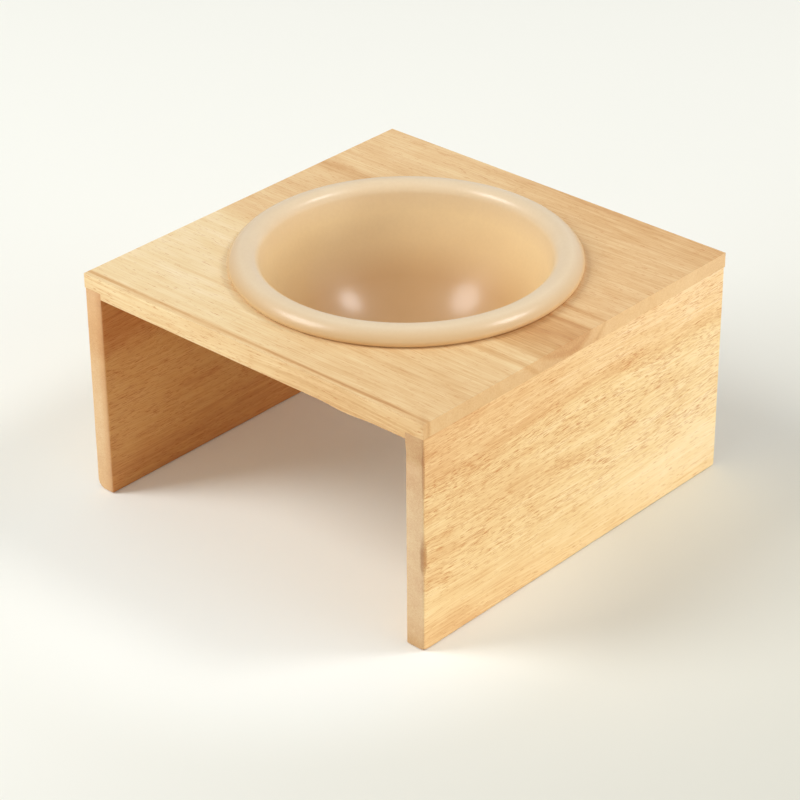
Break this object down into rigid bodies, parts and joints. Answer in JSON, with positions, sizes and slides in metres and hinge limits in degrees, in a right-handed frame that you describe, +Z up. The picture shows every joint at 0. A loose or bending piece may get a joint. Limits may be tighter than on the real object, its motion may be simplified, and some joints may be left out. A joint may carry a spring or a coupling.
{
  "type": "pet bowl stand",
  "caption": "Low wooden pet stand on upright side boards, with a deep glazed ceramic bowl dropped into a round hole in its top; the bowl lifts straight out for washing.",
  "frame": {"origin": "on the floor, under the middle of the stand", "axes": "+Z up, X across the stand from the left board to the right board, Y from the open front to the open back"},
  "size_m": [0.2, 0.202, 0.1175],
  "materials": {
    "rubberwood": "sanded and clear oiled, satin",
    "beech": "turned and fluted, bare",
    "satin_glaze": "satin beige glaze"
  },
  "bodies": {
    "stand": {"top_board": "rubberwood", "left_side_board": "rubberwood", "right_side_board": "rubberwood", "left_front_dowel": "beech", "left_middle_dowel": "beech", "left_rear_dowel": "beech", "right_front_dowel": "beech", "right_middle_dowel": "beech", "right_rear_dowel": "beech"},
    "bowl": {"bowl": "satin_glaze"}
  },
  "joints": [
    {"name": "bowl_lift", "type": "slide", "parent": "stand", "child": "bowl", "axis": [0, 0, 1], "range_m": [0, 0.08]}
  ]
}
